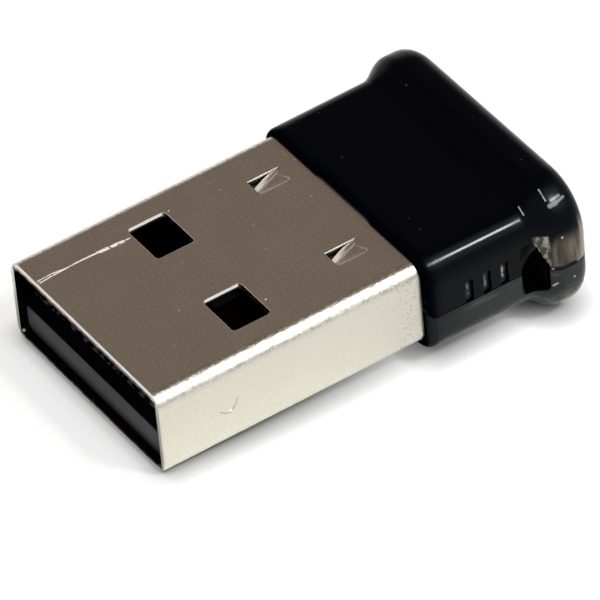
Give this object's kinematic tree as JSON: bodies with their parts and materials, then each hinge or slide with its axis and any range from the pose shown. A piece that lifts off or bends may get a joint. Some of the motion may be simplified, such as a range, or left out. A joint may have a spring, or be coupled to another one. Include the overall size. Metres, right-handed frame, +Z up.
{
  "type": "usb bluetooth adapter",
  "caption": "Short USB stick with a bare metal plug, a smoky black housing that flares into a grip, side snap notches and a lanyard eye in one rear corner.",
  "frame": {"origin": "middle of the bounding box at its base, level with the grip's underside", "axes": "+X across the plug toward the corner with the lanyard eye, +Y from the plug's open mouth to the rear of the housing, +Z up, on the side above the contacts"},
  "size_m": [0.0148, 0.022, 0.0072],
  "materials": {
    "nickel_steel": "bright nickel, lightly scuffed",
    "black_moulding": "black, slightly glossy",
    "gold_contact": "gold flash",
    "solder_tin": "bright tin",
    "board_green": "green solder mask",
    "chip_epoxy": "black moulding compound",
    "ceramic_tan": "tan ceramic",
    "lamp_lens": "clear lens",
    "antenna_ceramic": "white ceramic",
    "smoky_plastic_upper": "glossy, nearly black, slightly see-through at thin edges",
    "smoky_plastic_lower": "glossy smoky grey"
  },
  "bodies": {
    "root": {"plug_shell": "nickel_steel", "contact_block": "black_moulding", "contact_supply": "gold_contact", "contact_data_minus": "gold_contact", "contact_data_plus": "gold_contact", "contact_ground": "gold_contact", "solder_supply": "solder_tin", "solder_data_minus": "solder_tin", "solder_data_plus": "solder_tin", "solder_ground": "solder_tin", "circuit_board": "board_green", "radio_chip": "chip_epoxy", "memory_chip": "chip_epoxy", "voltage_regulator": "chip_epoxy", "crystal": "solder_tin", "status_lamp": "lamp_lens", "chip_antenna": "antenna_ceramic", "inductor": "ceramic_tan", "capacitor_1": "ceramic_tan", "capacitor_2": "ceramic_tan", "capacitor_3": "ceramic_tan", "capacitor_4": "ceramic_tan", "resistor_1": "chip_epoxy", "resistor_2": "chip_epoxy", "upper_cover": "smoky_plastic_upper", "lower_cover": "smoky_plastic_lower"}
  },
  "joints": []
}
